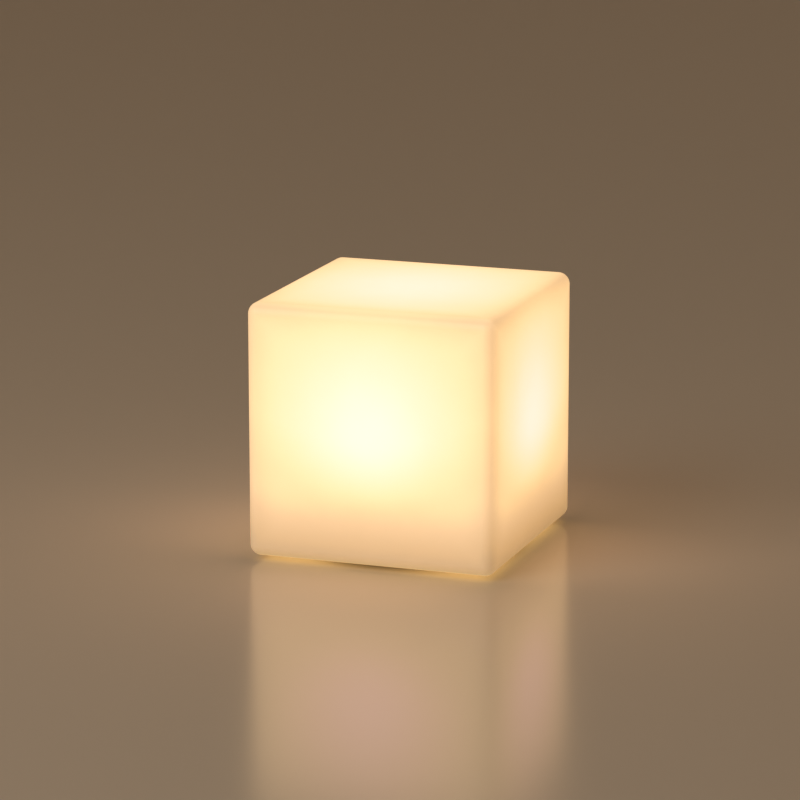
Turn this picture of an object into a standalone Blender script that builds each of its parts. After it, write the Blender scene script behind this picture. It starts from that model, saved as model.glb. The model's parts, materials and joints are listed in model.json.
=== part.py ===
"""Floating LED cube light: a hollow cube of milky plastic that stands on a round light module.

The shell carries a neck ring with three bayonet ribs. The module carries three lugs. The shell is stored
seated and turned back, so it lifts straight off; turned 43 degrees, its ribs slide over the lugs and lock.
Units are metres, +Z is up, and the origin is on the table under the centre of the cube.
"""

import bpy
import bmesh
from math import cos, pi, radians, sin
from mathutils import Matrix, Vector

OBJECT_NAME = "floating_cube_light"
MM = 0.001
GAP = 0.3 * MM                      # room between two pieces that touch

# Driving dimensions
SHELL_SIDE = 200 * MM
SHELL_BOTTOM = 3.5 * MM             # height of the cube's underside above the table
SHELL_WALL = 3.0 * MM
EDGE_RADIUS = 9.2 * MM
FLANGE_RADIUS = 79.0 * MM           # the module's flange
FLANGE_TOP = 4.8 * MM
RECESS_RADIUS = FLANGE_RADIUS + 3 * MM      # round recess in the underside, which takes the flange
RECESS_TOP = 9.2 * MM
NECK_RADIUS = 54.0 * MM             # clear bore of the neck ring
NECK_WALL = 3.0 * MM
NECK_FLANGE_BOTTOM = 6.7 * MM
NECK_SCREW_RADIUS = 74.5 * MM
GASKET_INNER = 60.0 * MM
GASKET_OUTER = 68.0 * MM
GASKET_FLOOR = 4.0 * MM
FOOT_INNER = 70.0 * MM
FOOT_OUTER = 77.0 * MM
FOOT_TOP = 1.7 * MM
BARREL_RADIUS = 50.8 * MM
BARREL_WALL = 2.5 * MM
BARREL_TOP = 47.0 * MM
FLOOR_TOP = 7.0 * MM                # inside floor of the housing
UNDERSIDE = 0.8 * MM                # underside of the housing, above the rubber foot
POCKET_RADIUS = 28.0 * MM           # pocket in the underside for button and charging port
POCKET_TOP = 4.0 * MM

# Holes for self-tapping screws
CLEARANCE_HOLE = 1.6 * MM
PILOT_HOLE = 1.45 * MM

# Bayonet
LUG_ANGLES = (90, 210, 330)
LUG_HALF_WIDTH = 20                 # degrees
UNLOCKED_OFFSET = 44                # degrees from a lug's middle to a rib's middle
LUG_BOTTOM = 10.5 * MM
LUG_TOP = 14.5 * MM
LUG_RADIUS = 53.6 * MM
RIB_BOTTOM = 15.0 * MM
RIB_RADIUS = 51.3 * MM
NECK_TOP = 18.0 * MM

# Places inside the housing
DOME_SCREW_RADIUS = 45.2 * MM
SCREW_ANGLES = (45, 135, 225, 315)
DOME_FLANGE_BOTTOM = BARREL_TOP + 1.2 * MM
DOME_FLANGE_TOP = DOME_FLANGE_BOTTOM + 2.4 * MM
TRAY_BOTTOM = 44.0 * MM
TRAY_THICKNESS = 1.5 * MM
TRAY_RADIUS = 40.5 * MM
LED_BOARD_RADIUS = 37.0 * MM
LED_CIRCLE = 23.0 * MM
BOARD_THICKNESS = 1.6 * MM
LED_BOARD_BOTTOM = TRAY_BOTTOM + TRAY_THICKNESS + GAP
LED_BOARD_TOP = LED_BOARD_BOTTOM + BOARD_THICKNESS
TRAY_POST_RADIUS = 33.0 * MM
TRAY_POST_ANGLES = (90, 235, 305)
LEAD_HOLE = Vector((-30.0, 8.0)) * MM
CONTROL_BOARD_BOTTOM = 16.0 * MM
CONTROL_BOARD_TOP = CONTROL_BOARD_BOTTOM + BOARD_THICKNESS
BOARD_SCREW = Vector((25.0, -17.0)) * MM        # the second screw stands opposite
BUTTON_TOP = 8.5 * MM
CRADLE_BOTTOM = 21.5 * MM
CRADLE_PLATE = 1.5 * MM
CRADLE_WALL = 1.6 * MM
CRADLE_POST_X = 38.5 * MM
CELL_RADIUS = 9.2 * MM
CELL_LENGTH = 65.0 * MM
CELL_Y = CELL_RADIUS + GAP
CELL_Z = CRADLE_BOTTOM + CRADLE_PLATE + GAP + CELL_RADIUS
CELL_LINK = 0.3 * MM
JACK_XY = Vector((0.0, 17.0)) * MM
STATUS_XY = Vector((0.0, -16.0)) * MM
COVER_HINGE = Vector((12.0, 17.0, 3.2)) * MM
ANCHOR_XY = Vector((15.2, 17.0)) * MM

RING_SIDES = 48
MEDIUM_SIDES = 24
SMALL_SIDES = 12
HOLE_SIDES = 8


# ---------------------------------------------------------------- scene helpers

def clear_scene():
    for obj in list(bpy.data.objects):
        bpy.data.objects.remove(obj, do_unlink=True)


def new_collection(name):
    collection = bpy.data.collections.new(name)
    bpy.context.scene.collection.children.link(collection)
    return collection


def material(name, color, roughness, metallic=0.0, transmission=0.0):
    mat = bpy.data.materials.new(name)
    mat.use_nodes = True
    shader = mat.node_tree.nodes["Principled BSDF"]
    shader.inputs["Base Color"].default_value = (*color, 1.0)
    shader.inputs["Roughness"].default_value = roughness
    shader.inputs["Metallic"].default_value = metallic
    shader.inputs["Transmission Weight"].default_value = transmission
    return mat


def mesh_object(name, bm, mat=None):
    mesh = bpy.data.meshes.new(name)
    bm.to_mesh(mesh)
    bm.free()
    return place(bpy.data.objects.new(name, mesh), mat)


def place(obj, mat=None):
    """A piece goes in the object's collection; a tool for cutting or joining has no material."""
    if mat is None:
        CUTTERS.objects.link(obj)
        obj.hide_render = True
        obj.display_type = "WIRE"
    else:
        PARTS.objects.link(obj)
        obj.data.materials.append(mat)
    return obj


def smooth(obj, angle=35):
    obj.data.shade_smooth()
    obj.data.set_sharp_from_angle(angle=radians(angle))
    return obj


# ---------------------------------------------------------------- shape helpers

def turned(name, profile, mat=None, sides=RING_SIDES, at=(0.0, 0.0), closed=False):
    """Turn a profile of (radius, height) points, listed down its outer side, about a vertical axis."""
    bm = bmesh.new()
    verts = [bm.verts.new((r, 0.0, z)) for r, z in profile]
    for a, b in zip(verts, verts[1:]):
        bm.edges.new((a, b))
    if closed:
        bm.edges.new((verts[-1], verts[0]))
    obj = mesh_object(name, bm, mat)
    screw = obj.modifiers.new("Turn", "SCREW")
    screw.steps = sides
    screw.render_steps = sides
    screw.use_merge_vertices = True
    screw.merge_threshold = 0.00001
    screw.use_smooth_shade = False
    obj.location = (at[0], at[1], 0.0)
    return obj


def ring(name, inner, outer, bottom, top, mat=None, sides=RING_SIDES, chamfer=0.0):
    """A flat ring; a chamfer breaks its two lower edges."""
    c = chamfer
    profile = [(outer, top), (outer, bottom), (inner, bottom), (inner, top)]
    if c:
        profile = [(outer, top), (outer, bottom + c), (outer - c, bottom), (inner + c, bottom),
                   (inner, bottom + c), (inner, top)]
    return turned(name, profile, mat, sides, closed=True)


def cylinder(name, radius, bottom, top, at=(0.0, 0.0), mat=None, sides=SMALL_SIDES):
    bm = bmesh.new()
    bmesh.ops.create_cone(bm, cap_ends=True, segments=sides, radius1=radius, radius2=radius,
                          depth=top - bottom)
    obj = mesh_object(name, bm, mat)
    obj.location = (at[0], at[1], (bottom + top) / 2)
    return obj


def box(name, low, high, mat=None, radius=0.0, segments=2):
    """A box between two corners, with its scale in the mesh so that a bevel stays even."""
    low = Vector(low)
    high = Vector(high)
    bm = bmesh.new()
    bmesh.ops.create_cube(bm, size=1.0)
    bmesh.ops.scale(bm, vec=high - low, verts=bm.verts)
    obj = mesh_object(name, bm, mat)
    obj.location = (low + high) / 2
    if radius:
        add_bevel(obj, radius, segments)
    return obj


def add_bevel(obj, width, segments):
    bevel = obj.modifiers.new("Edges", "BEVEL")
    bevel.width = width
    bevel.segments = segments
    bevel.limit_method = "ANGLE"
    bevel.angle_limit = radians(40)
    return bevel


def arc_block(name, inner, outer, bottom, top, start, end, steps=6):
    """A block that follows the barrel's curve from one angle to another, in degrees."""
    bm = bmesh.new()
    turn = Matrix.Rotation(radians(start), 3, "Z")
    corners = [(inner, 0, bottom), (outer, 0, bottom), (outer, 0, top), (inner, 0, top)]
    face = bm.faces.new([bm.verts.new(turn @ Vector(corner)) for corner in corners])
    bmesh.ops.spin(bm, geom=[face, *face.edges, *face.verts], axis=(0, 0, 1), cent=(0, 0, 0),
                   angle=radians(end - start), steps=steps)
    bmesh.ops.recalc_face_normals(bm, faces=bm.faces)
    return mesh_object(name, bm)


def boolean(obj, tool, operation):
    modifier = obj.modifiers.new(tool.name, "BOOLEAN")
    modifier.operation = operation
    modifier.solver = "EXACT"
    modifier.object = tool
    return obj


def cut(obj, tool):
    return boolean(obj, tool, "DIFFERENCE")


def join(obj, tool):
    return boolean(obj, tool, "UNION")


def on_circle(radius, angle):
    return Vector((radius * cos(radians(angle)), radius * sin(radians(angle))))


def screw(name, at, head_base, mat, head_radius=2.6 * MM, head_height=2.0 * MM, length=9.0 * MM,
          points_up=False):
    """A pan-head screw with a cross recess. Its head stands on head_base and its shank runs away from it."""
    shank = 1.05 * MM
    crown = 0.6 * MM
    profile = [(0.0, head_height), (head_radius - crown, head_height), (head_radius, head_height - crown),
               (head_radius, 0.0), (shank, 0.0), (shank, 1.2 * MM - length), (0.0, -length)]
    obj = turned(name, profile, mat, sides=10)
    slot_half = head_radius * 0.55
    slots = ((slot_half, 0.35 * MM), (0.35 * MM, slot_half))
    for index, (x, y) in enumerate(slots):
        slot = box(f"{name}_slot_{index}", (-x, -y, head_height - 0.9 * MM), (x, y, head_height + MM))
        slot.parent = obj
        cut(obj, slot)
    obj.location = (at[0], at[1], head_base)
    if points_up:
        obj.rotation_euler = (pi, 0.0, 0.0)
    return smooth(obj)


def wire(name, points, mat, radius=0.8 * MM):
    """A lead that runs on one smooth curve through a few hand-placed points, in millimetres."""
    points = [Vector(point) * MM for point in points]
    ends = [2 * points[0] - points[1], *points, 2 * points[-1] - points[-2]]
    path = []
    for a, b, c, d in zip(ends, ends[1:], ends[2:], ends[3:]):
        for step in range(3):
            t = step / 3
            path.append(0.5 * (2 * b + (c - a) * t + (2 * a - 5 * b + 4 * c - d) * t ** 2
                               + (3 * b - a - 3 * c + d) * t ** 3))
    path.append(points[-1])
    curve = bpy.data.curves.new(name, "CURVE")
    curve.dimensions = "3D"
    curve.bevel_depth = radius
    curve.bevel_resolution = 1
    curve.use_fill_caps = True
    spline = curve.splines.new("POLY")
    spline.points.add(len(path) - 1)
    for point, position in zip(spline.points, path):
        point.co = (*position, 1.0)
    return place(bpy.data.objects.new(name, curve), mat)


# ---------------------------------------------------------------- shell

def outer_shell(mat):
    """The hollow cube: an even wall all round, with a round recess and the neck's hole underneath."""
    half = SHELL_SIDE / 2
    top = SHELL_BOTTOM + SHELL_SIDE
    inner = half - SHELL_WALL
    shell = box("outer_shell", (-half, -half, SHELL_BOTTOM), (half, half, top), mat, EDGE_RADIUS, 5)
    cavity = box("shell_cavity", (-inner, -inner, SHELL_BOTTOM + SHELL_WALL),
                 (inner, inner, top - SHELL_WALL), None, EDGE_RADIUS - SHELL_WALL, 3)
    cut(cavity, cylinder("recess_wall", RECESS_RADIUS + SHELL_WALL, 0.0, RECESS_TOP + SHELL_WALL,
                         sides=RING_SIDES))
    cut(shell, cavity)
    cut(shell, cylinder("shell_recess", RECESS_RADIUS, 0.0, RECESS_TOP, sides=RING_SIDES))
    cut(shell, cylinder("neck_hole", NECK_RADIUS + NECK_WALL, 0.0, RECESS_TOP + 2 * SHELL_WALL,
                        sides=RING_SIDES))
    for index, angle in enumerate(SCREW_ANGLES):
        cut(shell, cylinder(f"shell_screw_hole_{index}", CLEARANCE_HOLE, RECESS_TOP - MM,
                            RECESS_TOP + 2 * SHELL_WALL, on_circle(NECK_SCREW_RADIUS, angle),
                            sides=HOLE_SIDES))
    return smooth(shell)


def neck_ring(mat):
    """A short tube through the shell's hole, its flange below the shell's wall, and three bayonet ribs."""
    outer = NECK_RADIUS + NECK_WALL - GAP
    flange_top = RECESS_TOP - GAP
    flange = RECESS_RADIUS - 1.5 * MM
    lead_in = 0.8 * MM
    profile = [(outer, NECK_TOP), (outer, flange_top), (flange, flange_top), (flange, NECK_FLANGE_BOTTOM),
               (NECK_RADIUS + lead_in, NECK_FLANGE_BOTTOM), (NECK_RADIUS, NECK_FLANGE_BOTTOM + lead_in),
               (NECK_RADIUS, NECK_TOP)]
    part = turned("neck_ring", profile, mat, closed=True)
    for index, angle in enumerate(LUG_ANGLES):
        middle = angle - UNLOCKED_OFFSET
        join(part, arc_block(f"rib_{index}", RIB_RADIUS, NECK_RADIUS + NECK_WALL / 2, RIB_BOTTOM,
                             NECK_TOP - GAP, middle - LUG_HALF_WIDTH, middle + LUG_HALF_WIDTH))
    for index, angle in enumerate(SCREW_ANGLES):
        at = on_circle(NECK_SCREW_RADIUS, angle)
        cut(part, cylinder(f"neck_screw_hole_{index}", CLEARANCE_HOLE, NECK_FLANGE_BOTTOM - MM,
                           flange_top + MM, at, sides=HOLE_SIDES))
        cut(part, cylinder(f"neck_screw_sink_{index}", 3.0 * MM, NECK_FLANGE_BOTTOM - MM,
                           NECK_FLANGE_BOTTOM + 1.2 * MM, at))
    return smooth(part)


def clamp_ring(mat):
    """The ring inside the shell that the neck's screws pull down on the wall."""
    inner = NECK_RADIUS + NECK_WALL + 2 * GAP
    outer = RECESS_RADIUS - 2 * MM
    bottom = RECESS_TOP + SHELL_WALL + GAP
    top = bottom + 3 * MM
    part = ring("clamp_ring", inner, outer, bottom, top, mat)
    for index, angle in enumerate(SCREW_ANGLES):
        cut(part, cylinder(f"clamp_hole_{index}", PILOT_HOLE, bottom - MM, top + MM,
                           on_circle(NECK_SCREW_RADIUS, angle), sides=HOLE_SIDES))
    return smooth(part)


def neck_screws(mat):
    head_base = NECK_FLANGE_BOTTOM + 0.9 * MM
    for index, angle in enumerate(SCREW_ANGLES):
        screw(f"neck_screw_{index + 1}", on_circle(NECK_SCREW_RADIUS, angle), head_base, mat,
              head_radius=2.5 * MM, head_height=1.3 * MM, length=7.6 * MM, points_up=True)


def neck_gasket(mat):
    return smooth(ring("neck_gasket", GASKET_INNER, GASKET_OUTER, GASKET_FLOOR + GAP,
                       NECK_FLANGE_BOTTOM - GAP, mat))


# ---------------------------------------------------------------- module housing

def module_housing(mat):
    """One moulding: a flange with grooves for gasket and foot, a barrel, a pocket underneath and the lugs."""
    inner = BARREL_RADIUS - BARREL_WALL
    foot_floor = FOOT_TOP + GAP
    c = 0.6 * MM
    profile = [(0, FLOOR_TOP), (inner, FLOOR_TOP), (inner, BARREL_TOP), (BARREL_RADIUS, BARREL_TOP),
               (BARREL_RADIUS, FLANGE_TOP), (GASKET_INNER - GAP, FLANGE_TOP),
               (GASKET_INNER - GAP, GASKET_FLOOR), (GASKET_OUTER + GAP, GASKET_FLOOR),
               (GASKET_OUTER + GAP, FLANGE_TOP), (FLANGE_RADIUS - c, FLANGE_TOP),
               (FLANGE_RADIUS, FLANGE_TOP - c), (FLANGE_RADIUS, UNDERSIDE + c),
               (FLANGE_RADIUS - c, UNDERSIDE), (FOOT_OUTER + GAP, UNDERSIDE),
               (FOOT_OUTER + GAP, foot_floor), (FOOT_INNER - GAP, foot_floor),
               (FOOT_INNER - GAP, UNDERSIDE), (POCKET_RADIUS, UNDERSIDE), (POCKET_RADIUS, POCKET_TOP),
               (0, POCKET_TOP)]
    housing = turned("module_housing", profile, mat)
    for index, angle in enumerate(LUG_ANGLES):
        join(housing, arc_block(f"lug_{index}", BARREL_RADIUS - MM, LUG_RADIUS, LUG_BOTTOM, LUG_TOP,
                                angle - LUG_HALF_WIDTH, angle + LUG_HALF_WIDTH + 1))
        join(housing, arc_block(f"lug_stop_{index}", BARREL_RADIUS - MM, LUG_RADIUS, LUG_BOTTOM,
                                NECK_TOP - MM, angle + LUG_HALF_WIDTH + 0.5, angle + LUG_HALF_WIDTH + 4, 1))
    add_posts(housing)
    holes = (("button_hole", 8.3 * MM, (0, 0), MEDIUM_SIDES), ("jack_hole", 4.3 * MM, JACK_XY, SMALL_SIDES),
             ("status_hole", 1.8 * MM, STATUS_XY, SMALL_SIDES),
             ("anchor_hole", 1.5 * MM, ANCHOR_XY, SMALL_SIDES))
    for name, radius, at, sides in holes:
        cut(housing, cylinder(name, radius, POCKET_TOP - MM, FLOOR_TOP + MM, at, sides=sides))
    return smooth(housing)


def add_posts(housing):
    """Screw posts that stand on the housing's floor, each with a blind pilot hole."""
    posts = []
    for angle in SCREW_ANGLES:
        posts.append((on_circle(DOME_SCREW_RADIUS, angle), 3.4 * MM, DOME_FLANGE_BOTTOM - GAP))
    for angle in TRAY_POST_ANGLES:
        posts.append((on_circle(TRAY_POST_RADIUS, angle), 3.0 * MM, TRAY_BOTTOM - GAP))
    for side in (-1, 1):
        posts.append((Vector((side * CRADLE_POST_X, 0)), 3.0 * MM, CRADLE_BOTTOM - GAP))
        posts.append((side * BOARD_SCREW, 2.6 * MM, CONTROL_BOARD_BOTTOM - GAP))
    for index, (at, radius, top) in enumerate(posts):
        join(housing, cylinder(f"post_{index}", radius, FLOOR_TOP - MM, top, at))
        cut(housing, cylinder(f"post_hole_{index}", PILOT_HOLE, top - 9 * MM, top + MM, at,
                              sides=HOLE_SIDES))


def foot_ring(mat):
    return smooth(ring("foot_ring", FOOT_INNER, FOOT_OUTER, 0.0, FOOT_TOP, mat, chamfer=0.3 * MM))


# ---------------------------------------------------------------- light

def diffuser_dome(mat):
    """A frosted cover: a flat flange, a short upright wall and a low elliptical dome, all 2 mm thick."""
    wall_outer = 41 * MM
    thickness = 2 * MM
    spring_line = DOME_FLANGE_TOP + 2 * MM
    rise = 10.4 * MM
    steps = 6
    outside = []
    inside = []
    for step in range(steps + 1):
        angle = pi / 2 * (1 - step / steps)
        outside.append((wall_outer * cos(angle), spring_line + rise * sin(angle)))
        inside.append(((wall_outer - thickness) * cos(angle),
                       spring_line + (rise - thickness) * sin(angle)))
    outside[0] = (0.0, spring_line + rise)
    inside[0] = (0.0, spring_line + rise - thickness)
    flange = BARREL_RADIUS - GAP
    profile = [*outside, (wall_outer, DOME_FLANGE_TOP), (flange, DOME_FLANGE_TOP),
               (flange, DOME_FLANGE_BOTTOM), (wall_outer - thickness, DOME_FLANGE_BOTTOM),
               *reversed(inside)]
    dome = turned("diffuser_dome", profile, mat, sides=36)
    for index, angle in enumerate(SCREW_ANGLES):
        cut(dome, cylinder(f"dome_hole_{index}", 1.7 * MM, DOME_FLANGE_BOTTOM - MM, DOME_FLANGE_TOP + MM,
                           on_circle(DOME_SCREW_RADIUS, angle), sides=HOLE_SIDES))
    return smooth(dome)


def dome_gasket(mat):
    return smooth(ring("dome_gasket", 48.9 * MM, 50.4 * MM, BARREL_TOP + GAP, DOME_FLANGE_BOTTOM - GAP, mat,
                       sides=36))


def dome_screws(mat):
    for index, angle in enumerate(SCREW_ANGLES):
        screw(f"dome_screw_{index + 1}", on_circle(DOME_SCREW_RADIUS, angle), DOME_FLANGE_TOP + GAP, mat)


def drilled_disc(name, radius, bottom, top, mat):
    """The LED board and the tray below it: a disc with three screw holes and one for the leads."""
    disc = cylinder(name, radius, bottom, top, (0, 0), mat, sides=36)
    for index, angle in enumerate(TRAY_POST_ANGLES):
        cut(disc, cylinder(f"{name}_hole_{index}", CLEARANCE_HOLE, bottom - MM, top + MM,
                           on_circle(TRAY_POST_RADIUS, angle), sides=HOLE_SIDES))
    cut(disc, cylinder(f"{name}_lead_hole", 2.8 * MM, bottom - MM, top + MM, LEAD_HOLE, sides=HOLE_SIDES))
    return smooth(disc)


def leds(mat):
    """Eight packages in a circle and one in the middle, each with a round phosphor well."""
    places = [Vector((0, 0))] + [on_circle(LED_CIRCLE, 22.5 + 45 * step) for step in range(8)]
    bottom = LED_BOARD_TOP + GAP
    top = bottom + 1.6 * MM
    half = 2.5 * MM
    for index, at in enumerate(places):
        low = (at.x - half, at.y - half, bottom)
        high = (at.x + half, at.y + half, top)
        led = box(f"led_{index + 1}", low, high, mat)
        well = cylinder(f"led_well_{index + 1}", 2.0 * MM, top - 0.4 * MM, top + MM, at)
        cut(led, well)


def tray_screws(mat):
    for index, angle in enumerate(TRAY_POST_ANGLES):
        screw(f"tray_screw_{index + 1}", on_circle(TRAY_POST_RADIUS, angle), LED_BOARD_TOP + GAP, mat,
              head_radius=2.4 * MM, head_height=1.6 * MM, length=9.5 * MM)


# ---------------------------------------------------------------- battery

def cell(name, y, mat):
    """A cylindrical lithium cell that lies along X, with a button on its positive end."""
    half = CELL_LENGTH / 2
    rim = 0.6 * MM
    profile = [(0, half), (3.4 * MM, half), (3.4 * MM, half - MM), (CELL_RADIUS - rim, half - MM),
               (CELL_RADIUS, half - MM - rim), (CELL_RADIUS, rim - half), (CELL_RADIUS - rim, -half),
               (0, -half)]
    obj = turned(name, profile, mat, sides=20)
    obj.rotation_euler = (0, pi / 2, 0)
    obj.location = (0, y, CELL_Z)
    return smooth(obj)


def cell_link(name, side, mat):
    """The nickel strip that joins the two cells' ends."""
    inner = CELL_LENGTH / 2 + GAP
    low, high = sorted((side * inner, side * (inner + CELL_LINK)))
    return box(name, (low, -13 * MM, CELL_Z - 3.5 * MM), (high, 13 * MM, CELL_Z + 3.5 * MM), mat)


def battery_cradle(mat):
    """A tray with low walls all round and an ear at each end for its screws."""
    plate_top = CRADLE_BOTTOM + CRADLE_PLATE
    side_top = 31.0 * MM
    end_top = 27.5 * MM
    half_x = 35.3 * MM
    half_y = 20.9 * MM
    cradle = box("battery_cradle", (-half_x, -half_y, CRADLE_BOTTOM), (half_x, half_y, plate_top), mat)
    for side in (-1, 1):
        low, high = sorted((side * half_y, side * (half_y - CRADLE_WALL)))
        join(cradle, box(f"cradle_side_{side}", (-half_x, low, CRADLE_BOTTOM), (half_x, high, side_top)))
        low, high = sorted((side * half_x, side * (half_x - CRADLE_WALL)))
        join(cradle, box(f"cradle_end_{side}", (low, -half_y, CRADLE_BOTTOM), (high, half_y, end_top)))
        ear = cylinder(f"cradle_ear_{side}", 3.6 * MM, CRADLE_BOTTOM, plate_top, (side * CRADLE_POST_X, 0))
        join(cradle, ear)
    for side in (-1, 1):
        cut(cradle, cylinder(f"cradle_hole_{side}", CLEARANCE_HOLE, CRADLE_BOTTOM - MM, plate_top + MM,
                             (side * CRADLE_POST_X, 0), sides=HOLE_SIDES))
    return smooth(cradle)


def cradle_screws(mat):
    for index, side in enumerate((-1, 1)):
        screw(f"cradle_screw_{index + 1}", (side * CRADLE_POST_X, 0), CRADLE_BOTTOM + CRADLE_PLATE + GAP,
              mat, head_radius=2.2 * MM, head_height=1.6 * MM, length=8 * MM)


def foam_pad(mat):
    bottom = CELL_Z + CELL_RADIUS + GAP
    return box("foam_pad", (-20 * MM, -14 * MM, bottom), (20 * MM, 14 * MM, TRAY_BOTTOM - GAP), mat,
               0.4 * MM, 1)


# ---------------------------------------------------------------- electronics

def control_board(mat):
    board = box("control_board", (-30 * MM, -21 * MM, CONTROL_BOARD_BOTTOM),
                (30 * MM, 21 * MM, CONTROL_BOARD_TOP), mat)
    for side in (-1, 1):
        cut(board, cylinder(f"board_hole_{side}", CLEARANCE_HOLE, CONTROL_BOARD_BOTTOM - MM,
                            CONTROL_BOARD_TOP + MM, side * BOARD_SCREW, sides=HOLE_SIDES))
    return smooth(board)


def board_screws(mat):
    for index, side in enumerate((-1, 1)):
        screw(f"board_screw_{index + 1}", side * BOARD_SCREW, CONTROL_BOARD_TOP + GAP, mat,
              head_radius=2.2 * MM, head_height=1.5 * MM, length=7 * MM)


def board_parts(chip_mat, coil_mat):
    base = CONTROL_BOARD_TOP + GAP
    box("control_chip", (-6 * MM, -3 * MM, base), (4 * MM, 3 * MM, base + 1.5 * MM), chip_mat, 0.25 * MM, 1)
    box("charge_chip", (9 * MM, 6 * MM, base), (14 * MM, 10 * MM, base + 1.4 * MM), chip_mat, 0.25 * MM, 1)
    box("power_inductor", (-18 * MM, 5 * MM, base), (-11 * MM, 12 * MM, base + 2.6 * MM), coil_mat, MM, 2)


def power_switch(body_mat, plunger_mat):
    """A tactile switch that hangs from the control board, with a long plunger down to the button."""
    half = 3 * MM
    bottom = 12.2 * MM
    bore_top = bottom + 2 * MM
    plunger = 1.7 * MM
    body = box("switch_body", (-half, -half, bottom), (half, half, CONTROL_BOARD_BOTTOM - GAP), body_mat,
               0.3 * MM, 1)
    cut(body, cylinder("switch_bore", plunger + 0.35 * MM, bottom - MM, bore_top))
    return smooth(cylinder("switch_plunger", plunger, BUTTON_TOP + GAP, bore_top - MM, (0, 0), plunger_mat))


def power_button(mat, seal_mat):
    """A round button in the pocket: a dished face, a seal groove and a flange that keeps it in."""
    face = 1.9 * MM
    stem = 7.8 * MM
    neck = 7.0 * MM
    flange = 9.4 * MM
    flange_bottom = FLOOR_TOP + GAP
    groove_bottom = 4.9 * MM
    groove_top = 6.3 * MM
    edge = 0.6 * MM
    profile = [(0, BUTTON_TOP), (flange, BUTTON_TOP), (flange, flange_bottom), (stem, flange_bottom),
               (stem, groove_top), (neck, groove_top), (neck, groove_bottom), (stem, groove_bottom),
               (stem, face + edge), (stem - edge, face), (5.5 * MM, face), (3.0 * MM, face + 0.35 * MM),
               (0, face + 0.45 * MM)]
    smooth(turned("power_button", profile, mat, sides=MEDIUM_SIDES))
    smooth(ring("button_seal", neck + 0.1 * MM, stem + GAP, groove_bottom + 0.2 * MM,
                groove_top - 0.2 * MM, seal_mat, MEDIUM_SIDES))


def charge_jack(body_mat, pin_mat):
    """A socket that hangs from the control board; its round nose fills the hole in the floor."""
    x, y = JACK_XY
    bottom = FLOOR_TOP + GAP
    bore_top = 13.5 * MM
    body = box("charge_jack", (x - 4.5 * MM, y - 4.8 * MM, bottom),
               (x + 4.5 * MM, y + 3.9 * MM, CONTROL_BOARD_BOTTOM - GAP), body_mat, 0.3 * MM, 1)
    join(body, cylinder("jack_nose", 3.9 * MM, POCKET_TOP + GAP, bottom + MM, JACK_XY, sides=20))
    cut(body, cylinder("jack_bore", 2.8 * MM, POCKET_TOP - MM, bore_top, JACK_XY, sides=20))
    smooth(body)
    smooth(cylinder("jack_pin", 1.0 * MM, 7.0 * MM, bore_top - GAP, JACK_XY, pin_mat, sides=HOLE_SIDES))


def port_cover(mat):
    """The jack's rubber cover: a round cap, a tapered stem in the jack and a strap to the anchor."""
    low = 1.6 * MM
    high = POCKET_TOP - GAP
    strap_low = high - MM
    stem_top = 6.5 * MM
    cap = 6.5 * MM
    edge = 0.5 * MM
    profile = [(0, stem_top), (2.1 * MM, stem_top), (2.5 * MM, high), (cap - edge, high),
               (cap, high - edge), (cap, low + edge), (cap - edge, low), (0, low)]
    cover = turned("port_cover", profile, mat, sides=MEDIUM_SIDES, at=JACK_XY)
    strap_start = JACK_XY.x + cap - 1.5 * MM
    strap = box("cover_strap", (strap_start - COVER_HINGE.x, -2 * MM, strap_low - COVER_HINGE.z),
                (0, 2 * MM, high - COVER_HINGE.z))
    strap.location += COVER_HINGE
    join(cover, strap)
    smooth(cover)
    shank = 1.2 * MM
    head = 2.3 * MM
    anchor_top = 6.6 * MM
    edge = 0.4 * MM
    profile = [(0, anchor_top), (shank, anchor_top), (shank, high), (head, high), (head, strap_low),
               (head - edge, strap_low - edge), (0, strap_low - edge)]
    smooth(turned("cover_anchor", profile, mat, sides=SMALL_SIDES, at=ANCHOR_XY))


def status_light(pipe_mat, led_mat):
    """A small LED under the control board and the clear pipe that leads its light to the pocket."""
    x, y = STATUS_XY
    pipe = 1.4 * MM
    pipe_top = 13.4 * MM
    face = 3.7 * MM
    edge = 0.4 * MM
    collar = 2.6 * MM
    collar_bottom = FLOOR_TOP + GAP
    collar_top = collar_bottom + MM
    profile = [(0, pipe_top), (pipe, pipe_top), (pipe, collar_top), (collar, collar_top),
               (collar, collar_bottom), (pipe, collar_bottom), (pipe, face + edge), (pipe - edge, face),
               (0, face)]
    smooth(turned("status_light_pipe", profile, pipe_mat, sides=SMALL_SIDES, at=STATUS_XY))
    box("status_led", (x - 1.6 * MM, y - 0.8 * MM, pipe_top + MM),
        (x + 1.6 * MM, y + 0.8 * MM, CONTROL_BOARD_BOTTOM - GAP), led_mat, 0.2 * MM, 1)


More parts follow.
